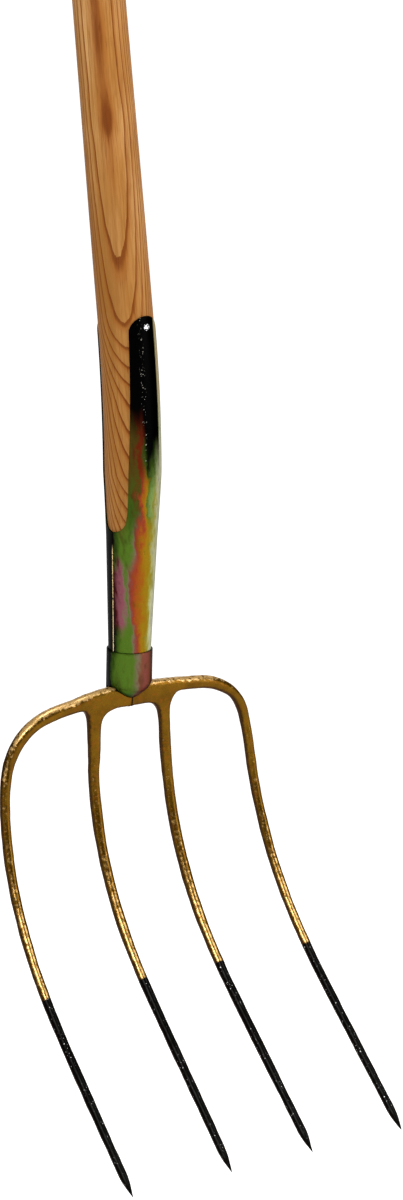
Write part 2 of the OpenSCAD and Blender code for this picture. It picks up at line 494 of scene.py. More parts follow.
@dataclass(frozen=True)
class BentAxis:
    """The axis that runs down the straight handle, round its bend and down the socket to the web."""

    angle: float = math.radians(8.5)
    radius: float = 0.95
    turn: float = math.radians(10.0)
    corner_below_origin: float = 0.07216
    corner_above_web: float = 0.19916

    @property
    def tangent(self) -> float:
        """Length of either straight that the bend takes up."""
        return self.radius * math.tan(self.angle / 2)

    @property
    def bend_low(self) -> float:
        """Height of the bend's lower end along the axis, from the middle of the web."""
        return self.corner_above_web - self.tangent

    @property
    def bend_high(self) -> float:
        """Height of the bend's upper end along the axis."""
        return self.bend_low + self.radius * self.angle

    @property
    def origin_height(self) -> float:
        """Height of the object's origin along the axis."""
        return self.bend_high + self.corner_below_origin - self.tangent

    def at(self, height: float) -> tuple[Vector, float]:
        """Finds a point of the axis in the plane of the bend.

        Args:
            height: Height along the axis, from the middle of the web.

        Returns:
            The point, with its turn back from upright.
        """
        lean = min(max((self.bend_high - height) / self.radius, 0.0), self.angle)
        above = max(height - self.bend_high, 0.0)
        below = max(self.bend_low - height, 0.0)
        upper = self.tangent - self.corner_below_origin
        point = Vector((0.0,
                        self.radius * (1 - math.cos(lean)) + below * math.sin(lean),
                        upper + above - self.radius * math.sin(lean) - below * math.cos(lean)))
        return point, lean

    def down(self, height: float) -> Vector:
        """Gives the way down the axis at a height."""
        lean = self.at(height)[1]
        return Vector((0.0, math.sin(lean), -math.cos(lean)))

    def on_skin(self, height: float, turn: float, radius: float) -> Vector:
        """Finds a point at a radius round the axis.

        Args:
            height: Height along the axis.
            turn: Turn round the axis from the front, positive towards +X.
            radius: Distance from the axis.

        Returns:
            The point, in the plane of the bend's own frame.
        """
        point, lean = self.at(height)
        front = Vector((0.0, -math.cos(lean), -math.sin(lean)))
        return point + radius * (math.sin(turn) * Vector((1.0, 0.0, 0.0)) + math.cos(turn) * front)

    def offset(self, shader: Shader) -> Value:
        """Measures how far back the axis lies from the straight handle's at the surface's height.

        Args:
            shader: The material.

        Returns:
            The offset in the plane of the bend, in metres.
        """
        upper = self.tangent - self.corner_below_origin
        fall = shader.math("MAXIMUM", upper - shader.along(UP), 0.0)
        in_bend = shader.math("MINIMUM", fall, self.radius * math.sin(self.angle))
        return in_bend * in_bend / (2 * self.radius) + (fall - in_bend) * math.tan(self.angle)

    def bend_frame(self) -> Matrix:
        """Gives the place of a piece that is modelled in the plane of the bend."""
        return Matrix.Rotation(self.turn, 4, "Z")

    def head_frame(self) -> Matrix:
        """Finds the place of a piece that is modelled round the middle of the web, with tines forward.

        Returns:
            The place.
        """
        point, lean = self.at(0.0)
        lowered = Matrix.Translation(point) @ Matrix.Rotation(lean, 4, "X")
        return self.bend_frame() @ lowered @ Matrix.Rotation(-self.turn, 4, "Z")

    def in_head(self, shader: Shader, axis: int) -> Value:
        """Measures the surface's place along an axis of the head's frame.

        Args:
            shader: The material.
            axis: 0 for across, 1 for back, 2 for up.

        Returns:
            The distance from the middle of the web, in metres.
        """
        web = self.head_frame()
        way = web.to_3x3().col[axis]
        return shader.along(way) - web.translation.dot(way)


AXIS = BentAxis()


@dataclass(frozen=True)
class TineSweep:
    """The forward sweep that all tines share, by the length along a tine from the middle of the web."""

    length: float = 0.363
    angle: float = math.radians(51.0)
    span: float = 0.285
    lead: float = 0.030
    steps: int = 400

    @cached_property
    def path(self) -> list[tuple[float, float]]:
        """Sums the curve in fine steps.

        Returns:
            Reach and height at each step, in the head's frame.
        """
        y = z = 0.0
        stride = self.length / self.steps
        points = [(y, z)]
        for i in range(self.steps):
            lean = self.lean((i + 0.5) * stride)
            y -= stride * math.sin(lean)
            z -= stride * math.cos(lean)
            points.append((y, z))
        return points

    def lean(self, run: float) -> float:
        """Gives a tine's forward lean at a length along it."""
        return self.angle * (ease((run + self.lead) / self.span) - ease(self.lead / self.span))

    def at(self, run: float) -> tuple[float, float]:
        """Finds a point of the curve.

        Args:
            run: Length along the tine.

        Returns:
            Reach and height, in the head's frame.
        """
        place = min(max(run / self.length, 0.0), 1.0) * self.steps
        index = min(int(place), self.steps - 1)
        (y0, z0), (y1, z1) = self.path[index], self.path[index + 1]
        return y0 + (y1 - y0) * (place - index), z0 + (z1 - z0) * (place - index)

    def plane_at(self, run: float) -> tuple[Vector, Vector]:
        """Finds the plane across the tines at a length along them.

        Args:
            run: Length along the tines.

        Returns:
            A point of the plane, and the way down the tines there.
        """
        place = AXIS.head_frame()
        lean = self.lean(run)
        way = place.to_3x3() @ Vector((0.0, -math.sin(lean), -math.cos(lean)))
        return place @ Vector((0.0, *self.at(run))), way


SWEEP = TineSweep()


# Finishes


@dataclass(frozen=True)
class AshWood:
    """Clear-finished ash, whose year rings come to the surface as nested arches."""

    facing: float = math.radians(-35.0)
    ring: float = 0.00165
    first_ring: float = 0.01708
    ring_curve: float = 0.032
    climbs: tuple[tuple[float, float, float], ...] = (
        (0.250, 0.002, 0.0011), (0.165, 0.136, -0.00025), (0.136, 0.112, 0.00033), (0.115, -0.020, 0.00226),
        (0.035, -0.020, 0.0008), (0.005, -0.060, 0.0044), (-0.020, -0.110, 0.0022))
    first_drift: float = 0.0016
    drifts: tuple[tuple[float, float, float], ...] = ((0.200, 0.115, -0.0016), (0.0, -0.045, -0.0032))
    # Heights between which the wood grows darker towards the bottom.
    darkening_heights: tuple[float, float] = (0.125, 0.005)
    pale: Colour = srgb(204, 156, 100)
    tan: Colour = srgb(170, 116, 55)
    fibres: Colour = srgb(149, 97, 40)
    brown: Colour = srgb(142, 74, 6)
    dark: Colour = srgb(106, 48, 0)

    def rings(self, shader: Shader) -> Value:
        """Counts the year rings from the heart of the log out to the surface.

        Args:
            shader: The material.

        Returns:
            The count, whole at the end of each year.
        """
        outward = shader.along((math.sin(self.facing), -math.cos(self.facing), 0.0))
        across = shader.along((math.cos(self.facing), math.sin(self.facing), 0.0))
        height = shader.along(UP)
        bent = AXIS.offset(shader)
        across = across - bent * math.sin(self.facing - AXIS.turn) - self.first_drift
        for high, low, amount in self.drifts:
            across = across - shader.step(height, high, low) * amount
        sway = shader.noise(shader.stretched((1.0, 1.0, 0.16)), 60.0, 2.0) - 0.5
        shiver = shader.noise(shader.stretched((1.0, 1.0, 0.10)), 420.0, 2.0) - 0.5
        depth = outward + across * across / (2 * self.ring_curve) + sway * 0.0004 + shiver * 0.00022
        for high, low, amount in self.climbs:
            depth = depth - shader.step(height, high, low) * amount
        return (depth - self.first_ring) / self.ring

    def build(self) -> bpy.types.Material:
        """Makes the material from its rings, its fibres and its pores.

        Returns:
            The material.
        """
        shader = Finish("ash_wood")
        count = self.rings(shader)
        share = shader.math("FRACT", count)
        year = shader.output("ShaderNodeTexWhiteNoise", "Value", {"noise_dimensions": "1D"},
                             {"W": shader.math("FLOOR", count)})
        strength = 0.8 + year * 0.2
        early = shader.step(share, 0.45, 1.0)
        line = shader.step(share, 0.77, 0.93)
        fibre = shader.noise(shader.stretched((1.0, 1.0, 0.03)), 480.0, 4.0, 0.75)
        cloud = shader.noise(shader.stretched((1.0, 1.0, 0.22)), 34.0, 3.0, 0.55)
        pores = shader.step(shader.noise(shader.stretched((1.0, 1.0, 0.04)), 1700.0, 1.0), 0.58, 0.70)
        # Darker towards the bottom.
        darker_below = shader.step(shader.along(UP), *self.darkening_heights) * 0.9
        ground = shader.mix(shader.step(cloud, 0.32, 0.70), shader.mix(darker_below, self.tan, self.fibres),
                            shader.mix(darker_below, self.pale, self.tan))
        ground = shader.mix(shader.step(fibre, 0.42, 0.66) * 0.85, ground, self.fibres)
        ringed = shader.mix(early * strength * 0.85, ground, self.brown)
        ringed = shader.mix(line * strength * 0.9, ringed, self.dark)
        colour = shader.mix(pores * (0.25 + early * 0.45), ringed, self.dark)
        relief = fibre * 0.5 - pores * 0.5
        return shader.dressed(Base_Color=colour, Roughness=0.46 + fibre * 0.16, Specular_IOR_Level=0.12,
                              Normal=shader.bump(relief, 0.25, 0.00025))


class Film(Enum):
    """The colours that the passivation shows by its thickness, the painted shade beside the seam on the far
    left, and the pale painted reflections on the right.
    """

    SHADE = srgb(9, 8, 5)
    CLARET = srgb(58, 10, 12)
    MAUVE = srgb(116, 64, 73)
    PEWTER = srgb(99, 87, 66)
    LEAF = srgb(66, 92, 25)
    MOSS = srgb(46, 68, 15)
    BRONZE = srgb(66, 52, 14)
    ROSE = srgb(109, 56, 48)
    UMBER = srgb(102, 60, 41)
    EMBER = srgb(88, 28, 8)
    RUST = srgb(124, 47, 27)
    AMBER = srgb(135, 63, 22)
    HONEY = srgb(130, 76, 14)
    STRAW = srgb(126, 96, 12)
    OLIVE = srgb(130, 122, 42)
    FERN = srgb(104, 124, 66)
    PAINTED_SHEEN = srgb(178, 179, 142)
    PAINTED_GLARE = srgb(212, 212, 190)


Band = tuple[float, Film]


@dataclass(frozen=True)
class PassivatedZinc:
    """Zinc plate with a yellow passivation, whose film shows in rainbow streaks down the sheet.

    A film lists colours by the turn round the socket in degrees from the front strap, negative to the left.
    The sheet's far side mirrors its near side.
    """

    name: str = "passivated_zinc"
    # Each film is painted shade (black) on the far left side and painted reflection (pale) on the right
    # side, with the film's own colours between.
    socket_film: tuple[Band, ...] = (
        (-130, Film.SHADE), (-94, Film.SHADE), (-82, Film.CLARET), (-71, Film.MAUVE), (-65, Film.MAUVE),
        (-58, Film.PEWTER), (-52, Film.LEAF), (-47, Film.PEWTER), (-41, Film.ROSE), (-35, Film.RUST),
        (-27, Film.AMBER), (-19, Film.HONEY), (-11, Film.STRAW), (-4, Film.STRAW), (6, Film.OLIVE),
        (19, Film.PAINTED_SHEEN), (50, Film.PAINTED_GLARE))
    leaf_film: tuple[Band, ...] = (
        (-130, Film.SHADE), (-90, Film.SHADE), (-78, Film.MOSS), (-68, Film.LEAF), (-44, Film.LEAF),
        (-37, Film.PEWTER), (-31, Film.ROSE), (-25, Film.RUST), (-18, Film.HONEY), (-10, Film.STRAW),
        (0, Film.STRAW), (9, Film.OLIVE), (22, Film.PAINTED_SHEEN), (50, Film.PAINTED_GLARE))
    strap_film: tuple[Band, ...] = (
        (-130, Film.SHADE), (-80, Film.MOSS), (-60, Film.BRONZE), (-50, Film.MOSS), (-38, Film.MOSS),
        (-33, Film.BRONZE), (-27, Film.RUST), (-20, Film.HONEY), (-13, Film.STRAW), (-6, Film.LEAF),
        (3, Film.FERN), (14, Film.OLIVE), (24, Film.PAINTED_SHEEN), (50, Film.PAINTED_GLARE))
    rust_film: tuple[Band, ...] = (
        (-130, Film.SHADE), (-80, Film.MOSS), (-50, Film.BRONZE), (-37, Film.BRONZE), (-32, Film.EMBER),
        (-25, Film.EMBER), (-19, Film.BRONZE), (-14, Film.MOSS), (-8, Film.SHADE), (1, Film.LEAF),
        (8, Film.FERN), (20, Film.PAINTED_SHEEN), (50, Film.PAINTED_GLARE))
    # The near-black colour paints the dark reflection over the straps' tops and the shadow on the collar's
    # rim.
    painted_dark: Colour = srgb(3, 3, 3)
    stain: Colour = srgb(44, 36, 14)
    # Painted reflection: a tan strip along the right edge of the upper straps.
    tan: Colour = srgb(184, 162, 114)
    glint: Colour = srgb(170, 168, 155)
    # Pale colour of the painted highlight along the seam.
    seam_highlight: Colour = srgb(236, 208, 150)
    leaf_ends: tuple[float, float, float, float] = (-0.229, -0.216, -0.180, -0.165)
    strap_above: tuple[float, float] = (-0.158, -0.136)
    rust_above: tuple[float, float] = (-0.126, -0.102)
    tan_reflection_above: tuple[float, float] = (-0.085, -0.045)
    dark_reflection_turns: tuple[float, float] = (-26.0, -8.0)
    glint_turns: tuple[float, float, float, float] = (-24.0, -19.0, -15.0, -10.0)
    dark_reflection_above: tuple[float, float] = (-0.076, -0.104)
    dark_reflection_fade: tuple[float, float] = (-0.022, 0.016)
    right_edge_turns: tuple[float, float] = (19.0, 26.0)
    rim: tuple[float, float] | None = None
    rim_below: tuple[float, float] = (0.0085, 0.0065)
    seam_turn: float = -91.5
    seam_edge: tuple[float, float] = (1.0, 2.2)
    seam_top: tuple[float, float] = (-0.165, -0.158)
    first_turn: float = -130.0
    turn_span: float = 180.0

    def turn_round(self, shader: Shader) -> Value:
        """Measures the turn round the bent axis from the front strap, mirrored on the far side.

        Args:
            shader: The material.

        Returns:
            The turn, in degrees.
        """
        side = shader.along((math.cos(AXIS.turn), math.sin(AXIS.turn), 0.0))
        back = shader.along((-math.sin(AXIS.turn), math.cos(AXIS.turn), 0.0))
        turn = shader.math("DEGREES", shader.math("ARCTAN2", side, AXIS.offset(shader) - back))
        mirrored = shader.math("PINGPONG", turn - self.first_turn, self.turn_span)
        return mirrored + self.first_turn

    def film(self, shader: Shader, turn: Value, bands: Sequence[Band]) -> Value:
        """Colours the sheet by the turn round it.

        Args:
            shader: The material.
            turn: The turn in degrees, with its streaks.
            bands: Colours by turn.

        Returns:
            The film's colour.
        """
        shares = [((degrees - self.first_turn) / self.turn_span, film.value) for degrees, film in bands]
        return shader.ramp((turn - self.first_turn) / self.turn_span, shares)

    def all_films(self, shader: Shader, turn: Value, height: Value) -> Value:
        """Sets the films one above the other, from the neck to the straps.

        Args:
            shader: The material.
            turn: The turn in degrees, with its streaks.
            height: The height, with its patches.

        Returns:
            The colour of the films.
        """
        low, low_end, high_end, high = self.leaf_ends
        middle = shader.step(height, low, low_end) * shader.step(height, high, high_end)
        colour = shader.mix(middle, self.film(shader, turn, self.leaf_film),
                            self.film(shader, turn, self.socket_film))
        for above, bands in ((self.strap_above, self.strap_film), (self.rust_above, self.rust_film)):
            colour = shader.mix(shader.step(height, *above), colour, self.film(shader, turn, bands))
        return colour

    def dark_reflection_cover(self, shader: Shader, turn: Value, height: Value, streak: Value) -> Value:
        """Finds where the painted dark reflection covers the straps, lower on their right than on their
        left.

        Args:
            shader: The material.
            turn: The turn in degrees.
            height: The height.
            streak: Streaks down the sheet, about 0 on average.

        Returns:
            The cover, from 0 to 1.
        """
        left, right = self.dark_reflection_above
        lowest = left + shader.step(turn, *self.dark_reflection_turns) * (right - left)
        rise = height - lowest + streak * 0.05
        past_edge = shader.step(turn + streak * 6.0, *self.right_edge_turns)
        return shader.step(rise, *self.dark_reflection_fade) * (1.0 - past_edge)

    def rim_shade(self, shader: Shader, rim: tuple[float, float]) -> Value:
        """Finds the painted shadow on the collar's rim where it meets the web's faces.

        Args:
            shader: The material.
            rim: Distances from the web's middle at which the rim is full and at which it ends.

        Returns:
            The shade, from 0 to 1.
        """
        away = shader.math("ABSOLUTE", AXIS.in_head(shader, 1))
        return shader.step(away, *reversed(rim)) * shader.step(AXIS.in_head(shader, 2), *self.rim_below)

    def build(self) -> bpy.types.Material:
        """Makes the material: films, stains, painted dark reflection on the straps with painted glints, a
        painted highlight along the seam and a painted shadow on the collar's rim.

        Returns:
            The material.
        """
        shader = Finish(self.name)
        turn = self.turn_round(shader)
        height = shader.along(UP)
        streak = shader.noise(shader.stretched((1.0, 1.0, 0.10)), 95.0, 3.0, 0.6, 0.3) - 0.5
        patch = shader.noise(shader.stretched((1.0, 1.0, 0.30)), 110.0, 1.0) - 0.5
        mottle = shader.noise(shader.stretched((1.0, 1.0, 0.45)), 330.0, 2.0) - 0.5
        grain = shader.noise(shader.stretched((1.0, 1.0, 0.60)), 1300.0, 3.0, 0.7)
        shifted = turn + streak * 20.0 + patch * 36.0 + mottle * 22.0 + (grain - 0.5) * 10.0
        colour = self.all_films(shader, shifted, height + patch * 0.030 + mottle * 0.012)
        stain = shader.step(mottle + patch * 0.8, 0.02, 0.34) + shader.step(grain, 0.55, 0.80) * 0.4
        colour = shader.mix(stain * 0.42, colour, self.stain)
        # Painted reflection in tan along the right edge of the upper straps.
        edge = shader.step(height, *self.tan_reflection_above) * shader.step(turn, *self.right_edge_turns)
        colour = shader.mix(edge * 0.8, colour, self.tan)
        # Painted dark reflection over the tops of the straps, with painted glints in it.
        painted_dark = self.dark_reflection_cover(shader, turn, height, streak)
        colour = shader.mix(painted_dark, colour, self.painted_dark)
        first, full, last, none = self.glint_turns
        band = shader.step(turn + streak * 8.0, first, full) * shader.step(turn + streak * 8.0, none, last)
        speck = shader.step(shader.noise(shader.place, 800.0, 1.0), 0.66, 0.74)
        colour = shader.mix(painted_dark * band * speck * 0.8, colour, self.glint)
        drawn = shader.noise(shader.stretched((1.0, 1.0, 0.01)), 1500.0, 2.0)
        fleck = shader.noise(shader.place, 900.0, 2.0)
        # Painted highlight: a pale line along the seam.
        from_seam = shader.math("ABSOLUTE", turn - self.seam_turn + streak * 1.5)
        seam = (1.0 - shader.step(from_seam, *self.seam_edge)) * (1.0 - shader.step(height, *self.seam_top))
        colour = shader.mix(seam * shader.step(fleck, 0.30, 0.55), colour, self.seam_highlight)
        # Painted shadow on the collar's rim.
        if self.rim:
            colour = shader.mix(self.rim_shade(shader, self.rim) * 0.9, colour, self.painted_dark)
        return shader.dressed(Base_Color=colour, Metallic=0.8 + painted_dark * 0.2,
                              Roughness=0.22 + drawn * 0.10 + fleck * 0.06,
                              Specular_IOR_Level=0.2, Specular_Tint=(0.25, 0.25, 0.25, 1.0),
                              Normal=shader.bump(drawn + fleck * 0.5, 0.15, 0.00015))


@dataclass(frozen=True)
class GoldLacquer:
    """Translucent gold-brown lacquer over hammered steel, with points dipped in glossy black."""

    gold: Colour = srgb(106, 75, 8)
    brown: Colour = srgb(86, 57, 4)
    amber: Colour = srgb(118, 66, 10)
    dark: Colour = srgb(34, 17, 3)
    # Colours of the painted highlights, paler above the given height.
    pale_highlight: Colour = srgb(212, 170, 104)
    gold_highlight: Colour = srgb(192, 150, 82)
    pale_highlight_above: tuple[float, float] = (-0.070, -0.040)
    # Faces turned this way get painted shade.
    shade_way: tuple[float, float, float] = (-0.62, 0.30, -0.72)
    # Faces turned this way get painted highlights.
    highlight_way: tuple[float, float, float] = (-0.29, -0.48, 0.83)
    seam: tuple[float, float] = (0.0003, 0.0012)
    black: Colour = srgb(4, 4, 4)
    glint: Colour = srgb(255, 255, 255)
    dip_run: float = 0.207
    dip_edge: float = 0.0006

    def build(self) -> bpy.types.Material:
        """Makes the material: mottled lacquer with painted shade and painted highlights, open at the seam,
        and the dipped points with painted glints.

        Returns:
            The material.
        """
        shader = Finish("gold_lacquer")
        point, way = SWEEP.plane_at(self.dip_run)
        ragged = shader.noise(shader.place, 420.0, 2.0) - 0.5
        past_dip = shader.along(way) - point.dot(way) + ragged * 0.0022
        dip = shader.step(past_dip, -self.dip_edge, self.dip_edge)
        cloud = shader.noise(shader.place, 70.0, 3.0, 0.6)
        hammer = shader.noise(shader.place, 420.0, 2.0, 0.5, 0.4)
        grit = shader.noise(shader.place, 1500.0, 3.0, 0.6)
        lacquer = shader.mix(shader.step(cloud, 0.25, 0.80), self.brown, self.gold)
        mottle = shader.noise(shader.place, 300.0, 2.0)
        lacquer = shader.mix(shader.step(mottle, 0.48, 0.70) * 0.45, lacquer, self.amber)
        lacquer = shader.mix(shader.step(grit, 0.56, 0.76) * 0.6, lacquer, self.dark)
        # Painted shade on the faces that turn left, back and down.
        painted_shade = shader.step(shader.facing(self.shade_way) + (hammer - 0.5) * 0.5, 0.10, 0.66)
        lacquer = shader.mix(painted_shade * 0.9, lacquer, self.dark)
        # Painted highlight on the faces that turn up and forward, paler higher up, where the lacquer is also
        # less metallic and more coated.
        painted_highlight = shader.step(shader.facing(self.highlight_way) + (hammer - 0.5) * 0.9, 0.66, 0.94)
        high = shader.step(AXIS.in_head(shader, 2), *self.pale_highlight_above)
        lacquer = shader.mix(painted_highlight * 0.9, lacquer, shader.mix(high, self.gold_highlight, self.pale_highlight))
        from_seam = shader.math("ABSOLUTE", AXIS.in_head(shader, 0))
        joint = 1.0 - shader.step(from_seam + ragged * 0.0006, *self.seam)
        lacquer = shader.mix(joint * 0.9, lacquer, self.dark)
        speck = shader.step(shader.noise(shader.place, 900.0, 1.0), 0.71, 0.80)
        dipped = shader.mix(speck * 0.8, self.black, self.glint)
        colour = shader.mix(dip, lacquer, dipped)
        rough = shader.math("MAXIMUM", 0.26 + (grit - 0.5) * 0.2 + dip * 0.03, 0.12)
        relief = hammer * 0.6 + grit * 0.25
        return shader.dressed(Base_Color=colour, Metallic=0.85 - painted_highlight * high * 0.4, Roughness=rough,
                              Specular_IOR_Level=0.25, Specular_Tint=(0.55, 0.45, 0.3, 1.0),
                              Coat_Weight=(0.04 + painted_highlight * 0.5) * (1.0 - dip * 0.85), Coat_Roughness=0.14,
                              Normal=shader.bump(relief, 0.30, 0.0006))


@dataclass(frozen=True)
class BrightSteel:
    """Bright nail steel with a few scratches and dents, and patches of painted dark reflection."""

    pale: Colour = srgb(225, 226, 228)
    painted_dark_reflection: Colour = srgb(24, 24, 26)

    def build(self) -> bpy.types.Material:
        """Makes the material: polished steel with dents, scratches and patches of painted dark reflection.

        Returns:
            The material.
        """
        shader = Finish("bright_steel")
        scratch = shader.noise(shader.stretched((1.0, 0.2, 3.0)), 1600.0, 3.0, 0.6)
        dent_and_reflection = shader.noise(shader.place, 560.0, 1.0)
        # Patches of painted dark reflection where the dent noise is high.
        return shader.dressed(Base_Color=shader.mix(shader.step(dent_and_reflection, 0.45, 0.52), self.pale, self.painted_dark_reflection),
                              Metallic=1.0, Roughness=0.16 + scratch * 0.2,
                              Normal=shader.bump(dent_and_reflection + scratch * 0.2, 0.6, 0.0008))


# The collar's film is painted shade (black) on its far left side.
COLLAR_FILM: tuple[Band, ...] = (
    (-130, Film.SHADE), (-96, Film.SHADE), (-86, Film.MOSS), (-76, Film.LEAF), (-34, Film.LEAF),
    (-22, Film.PEWTER), (-10, Film.UMBER), (4, Film.ROSE), (18, Film.UMBER), (50, Film.BRONZE))


# Sub-assemblies


@dataclass
class Piece:
    """What every piece of the fork shares: its node, its finish and its slot in the record."""

    node: str
    slot: Slot
    finish: bpy.types.Material

    def hand_over(self, piece: bpy.types.Object) -> bpy.types.Object:
        """Dresses a finished mesh and lets it stand for its solid.

        Args:
            piece: The finished mesh.

        Returns:
            The same mesh.
        """
        piece.data.materials.clear()
        piece.data.materials.append(self.finish)
        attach(piece, ROOT_BODY)
        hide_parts(self.node)
        LOG.info("%s: %d faces", piece.name, len(piece.data.polygons))
        return piece


@dataclass
class Handle(Piece):
    """The ash pole, from its rounded free end down to its foot in the socket."""

    radius: float = 0.0184
    seat_radius: float = 0.0195
    swell: tuple[float, float] = (0.250, 0.002)
    swell_rings: int = 12
    length: float = 1.050
    end_round: float = 0.012
    foot: float = 0.012
    neck: tuple[float, float] = (0.036, 0.0140)
    throat: tuple[float, float] = (0.115, 0.0168)
    strap_foot: float = 0.162
    sides: int = 96
    bend_rings: int = 16
    round_rings: int = 8
    bore_radius: float = 0.0051

    def rings(self) -> list[tuple[float, float]]:
        """Lists the pole's rings from its top to its foot.

        Returns:
            Height along the axis and radius of each ring.
        """
        origin = AXIS.origin_height
        top = origin + self.length
        rounding = [(top - self.end_round * (1 - math.sin(turn)),
                     self.radius - self.end_round * (1 - math.cos(turn)))
                    for turn in (math.pi / 2 * (1 - i / self.round_rings)
                                 for i in range(self.round_rings + 1))]
        high, low = self.swell
        shares = [i / self.swell_rings for i in range(self.swell_rings + 1)]
        swelling = [(origin + high + (low - high) * share,
                     self.radius + (self.seat_radius - self.radius) * ease(share)) for share in shares]
        span = origin + low - self.strap_foot
        bend = [(origin + low - span * (i + 1) / self.bend_rings, self.seat_radius)
                for i in range(self.bend_rings)]
        return rounding + swelling + bend + [self.throat, self.neck, (self.foot, self.neck[1])]

    def build(self) -> bpy.types.Object:
        """Extrudes the pole ring by ring, and sinks the bore for the tang in its foot.

        Returns:
            The finished pole.
        """
        rings = self.rings()
        height, radius = rings[0]
        bpy.ops.object.select_all(action="DESELECT")
        bpy.ops.mesh.primitive_circle_add(vertices=self.sides, radius=radius, fill_type="NGON",
                                          location=AXIS.at(height)[0])
        piece = added("handle_pole")
        with editing(piece):
            bpy.ops.mesh.select_all(action="SELECT")
            bar = Bar(AXIS.at(height)[0], DOWN)
            for height, wide in rings[1:]:
                bar.push(AXIS.at(height)[0], AXIS.down(height), (wide / radius,) * 3)
                radius = wide
            bpy.ops.mesh.inset(thickness=radius - self.bore_radius)
            bpy.ops.mesh.extrude_region_move(
                TRANSFORM_OT_translate={"value": -AXIS.down(self.foot) * (self.throat[0] - self.foot)})
        close_up(piece)
        put(piece, AXIS.bend_frame())
        smooth(piece)
        return self.hand_over(piece)


@dataclass
class Socket(Piece):
    """The rolled sheet: a tapered socket with a seam, two side mouths and two round-tipped straps."""

    sheet: float = 0.0010
    foot: float = 0.010
    neck: tuple[float, float] = (0.036, 0.0153)
    throat: tuple[float, float] = (0.115, 0.0181)
    strap_foot: float = 0.162
    strap_radius: float = 0.0206
    tip_radius: float = 0.0105
    mouth_bottom: float = 0.1205
    mouth_radius: float = 0.0108
    mouth_flare: float = 0.0053
    mouth_curve: float = 0.6
    seam: float = 0.0004
    edge_round: float = 0.00035
    columns: int = 40
    low_rows: int = 30
    arc_rows: int = 14
    strap_rows: int = 40

    def radius(self, height: float) -> float:
        """Finds the sheet's outside radius.

        Args:
            height: Height along the axis.

        Returns:
            The radius.
        """
        marks = ((0.0, self.neck[1]), self.neck, self.throat, (self.strap_foot, self.strap_radius))
        for (low, thin), (high, wide) in zip(marks, marks[1:]):
            if height <= high:
                return thin + (wide - thin) * max(height - low, 0.0) / (high - low)
        return self.strap_radius

    def rows(self) -> list[tuple[float, float]]:
        """Lists the rows of a half sheet from its foot to its strap's tip.

        Returns:
            Height along the axis and half the angle that the sheet covers there.
        """
        quarter = [math.pi / 2 * i / self.arc_rows for i in range(self.arc_rows + 1)]
        low = [(self.foot + (self.mouth_bottom - self.foot) * i / self.low_rows, math.pi / 2)
               for i in range(self.low_rows)]
        centre = self.mouth_bottom + self.mouth_radius
        arc = [(centre - self.mouth_radius * math.cos(a), self.mouth_radius * math.sin(a)) for a in quarter]
        tip_centre = AXIS.origin_height - self.tip_radius
        strap = [(centre + (tip_centre - centre) * i / self.strap_rows,
                  self.mouth_radius + self.mouth_flare * (i / self.strap_rows) ** self.mouth_curve)
                 for i in range(1, self.strap_rows)]
        sides = [(h, math.acos(w / self.radius(h))) for h, w in arc + strap]
        width = self.strap_radius * math.sin(math.acos((self.mouth_radius + self.mouth_flare)
                                                       / self.strap_radius))
        round_tip = [(tip_centre + self.tip_radius * math.sin(a),
                      math.asin(width * math.cos(a) / self.strap_radius)) for a in quarter]
        return low + sides + round_tip

    def half(self, strap: Strap) -> bpy.types.Object:
        """Wraps a grid round the axis as one half of the sheet.

        Args:
            strap: Which half.

        Returns:
            The half, as a skin without thickness.
        """
        rows = self.rows()
        bpy.ops.object.select_all(action="DESELECT")
        bpy.ops.mesh.primitive_grid_add(x_subdivisions=self.columns, y_subdivisions=len(rows) - 1, size=2.0)
        skin = added("socket_" + strap.name.lower())
        seam_side = -1.0 if strap is Strap.FRONT else 1.0
        for vertex in skin.data.vertices:
            share = vertex.co.x
            height, cover = rows[round((vertex.co.y + 1) / 2 * (len(rows) - 1))]
            radius = self.radius(height)
            turn = share * cover
            if share * seam_side > 0.999 and height <= self.mouth_bottom:
                turn -= seam_side * self.seam / 2 / radius
            vertex.co = AXIS.on_skin(height, strap.value + turn, radius)
        return skin

    def build(self) -> bpy.types.Object:
        """Joins both halves along the side without a seam, and gives the sheet its thickness.

        Returns:
            The finished sheet.
        """
        piece = self.half(Strap.FRONT)
        back = self.half(Strap.BACK)
        only(piece, back)
        bpy.ops.object.join()
        piece.name = "socket_sheet"
        close_up(piece, self.seam / 8)
        finish_with(piece, "SOLIDIFY", thickness=self.sheet, offset=-1.0, use_even_offset=True)
        finish_with(piece, "BEVEL", width=self.edge_round, segments=2, limit_method="ANGLE",
                    angle_limit=SHARP_EDGE)
        put(piece, AXIS.bend_frame())
        smooth(piece)
        return self.hand_over(piece)


